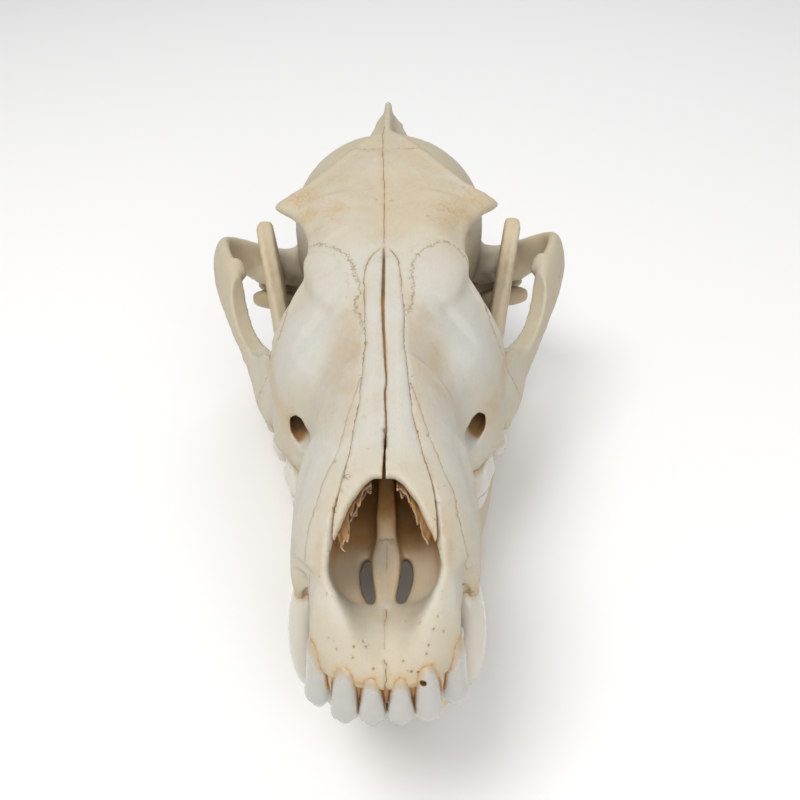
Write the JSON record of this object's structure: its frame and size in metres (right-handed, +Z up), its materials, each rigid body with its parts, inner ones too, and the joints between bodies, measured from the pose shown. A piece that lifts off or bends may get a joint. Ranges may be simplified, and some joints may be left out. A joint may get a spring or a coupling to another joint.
{
  "type": "coyote skull",
  "caption": "Cleaned, dry coyote skull with its lower jaw closed and a full set of teeth, resting nose-up on the underside of the jaw.",
  "frame": {"origin": "On the ground, under the middle of the skull's bounding box.", "axes": "+X to the animal's left, +Y towards the back of the head and away from the nose, +Z up as the skull stands."},
  "size_m": [0.1004, 0.2086, 0.0793],
  "materials": {
    "bone": "Dry, cleaned bone: ivory, satin to matt, browner in the hollows and along the seams.",
    "jaw_bone": "Dry, cleaned bone, a little yellower than the cranium: satin to matt.",
    "enamel": "Tooth enamel: glossy off-white, brown at the gum line."
  },
  "bodies": {
    "root": {"cranium": "bone", "left_jaw": "jaw_bone", "right_jaw": "jaw_bone", "upper_left_first_incisor": "enamel", "upper_left_second_incisor": "enamel", "upper_left_third_incisor": "enamel", "upper_left_canine": "enamel", "upper_left_first_premolar": "enamel", "upper_left_second_premolar": "enamel", "upper_left_third_premolar": "enamel", "upper_left_fourth_premolar": "enamel", "upper_left_first_molar": "enamel", "upper_left_second_molar": "enamel", "upper_right_first_incisor": "enamel", "upper_right_second_incisor": "enamel", "upper_right_third_incisor": "enamel", "upper_right_canine": "enamel", "upper_right_first_premolar": "enamel", "upper_right_second_premolar": "enamel", "upper_right_third_premolar": "enamel", "upper_right_fourth_premolar": "enamel", "upper_right_first_molar": "enamel", "upper_right_second_molar": "enamel", "lower_left_first_incisor": "enamel", "lower_left_second_incisor": "enamel", "lower_left_third_incisor": "enamel", "lower_left_canine": "enamel", "lower_left_first_premolar": "enamel", "lower_left_second_premolar": "enamel", "lower_left_third_premolar": "enamel", "lower_left_fourth_premolar": "enamel", "lower_left_first_molar": "enamel", "lower_left_second_molar": "enamel", "lower_left_third_molar": "enamel", "lower_right_first_incisor": "enamel", "lower_right_second_incisor": "enamel", "lower_right_third_incisor": "enamel", "lower_right_canine": "enamel", "lower_right_first_premolar": "enamel", "lower_right_second_premolar": "enamel", "lower_right_third_premolar": "enamel", "lower_right_fourth_premolar": "enamel", "lower_right_first_molar": "enamel", "lower_right_second_molar": "enamel", "lower_right_third_molar": "enamel"}
  },
  "joints": []
}
